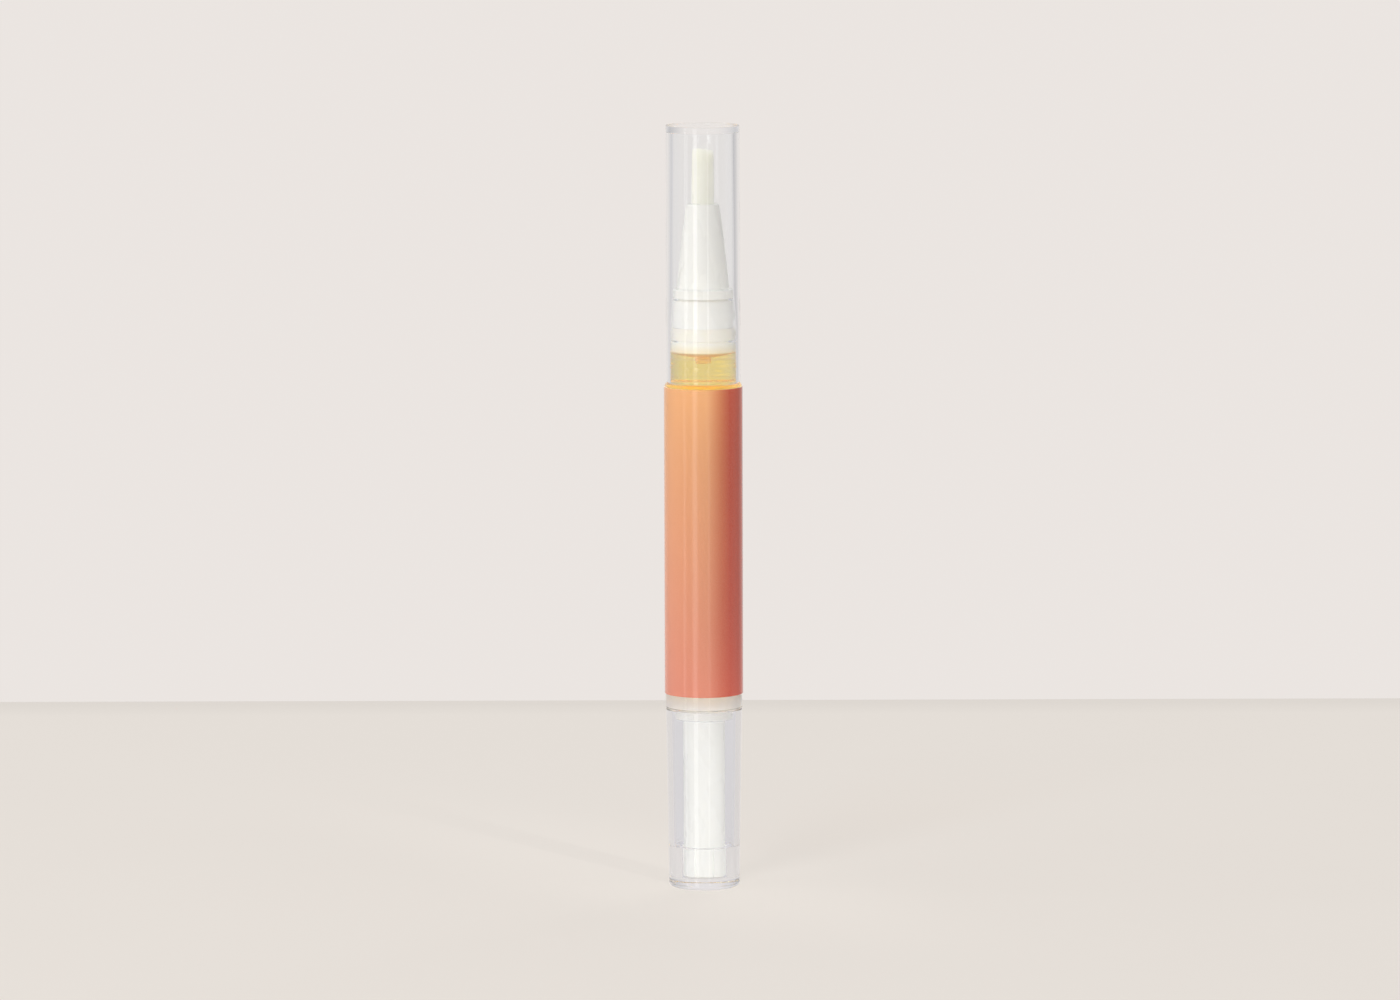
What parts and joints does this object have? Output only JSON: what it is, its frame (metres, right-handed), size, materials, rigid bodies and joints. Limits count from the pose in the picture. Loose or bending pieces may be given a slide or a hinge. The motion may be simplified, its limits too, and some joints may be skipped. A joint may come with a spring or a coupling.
{
  "type": "nail oil pen",
  "caption": "Clear twist-up oil pen that stands on its knob, with a brush tip under a pull-off cap and a screw-driven piston behind the oil.",
  "frame": {"origin": "centre of the foot ring that the pen stands on, on its axis", "axes": "+Z along the pen's axis from the knob up to the cap; -Y towards the front of the label, whose seam is at the back, +Y"},
  "size_m": [0.0128, 0.0129, 0.125],
  "materials": {
    "clear_plastic": "clear, polished",
    "white_plastic": "white, satin gloss",
    "natural_plastic": "natural polyethylene, slightly translucent",
    "bristle": "fine nylon filament",
    "label_film": "gloss film printed peach to terracotta",
    "oil": "clear yellow liquid"
  },
  "bodies": {
    "barrel_body": {"barrel": "clear_plastic", "label": "label_film", "oil": "oil", "inner_plug": "natural_plastic", "nozzle": "white_plastic", "brush_root": "bristle", "brush_bristles": "bristle", "feed_tube": "white_plastic", "end_bush": "natural_plastic"},
    "knob_body": {"knob": "clear_plastic", "drive_sleeve": "white_plastic", "click_ring": "white_plastic"},
    "screw_body": {"screw_rod": "white_plastic"},
    "piston_body": {"piston": "natural_plastic"},
    "cap_body": {"cap": "clear_plastic"}
  },
  "joints": [
    {"name": "knob_turn", "type": "hinge", "parent": "barrel_body", "child": "knob_body", "pos_m": [0, 0, 0], "axis": [0, 0, 1], "range_deg": [0, 5059]},
    {"name": "screw_advance", "type": "slide", "parent": "knob_body", "child": "screw_body", "axis": [0, 0, 1], "range_m": [0, 0.028]},
    {"name": "piston_advance", "type": "slide", "parent": "barrel_body", "child": "piston_body", "axis": [0, 0, 1], "range_m": [0, 0.0281], "deforming": ["oil"]},
    {"name": "cap_pull", "type": "slide", "parent": "barrel_body", "child": "cap_body", "axis": [0, 0, 1], "range_m": [0, 0.045]}
  ],
  "couplings": [
    {"joint": "knob_turn", "follows": "screw_advance", "rad_per_m": 3141.6},
    {"joint": "piston_advance", "follows": "screw_advance", "ratio": 1}
  ]
}
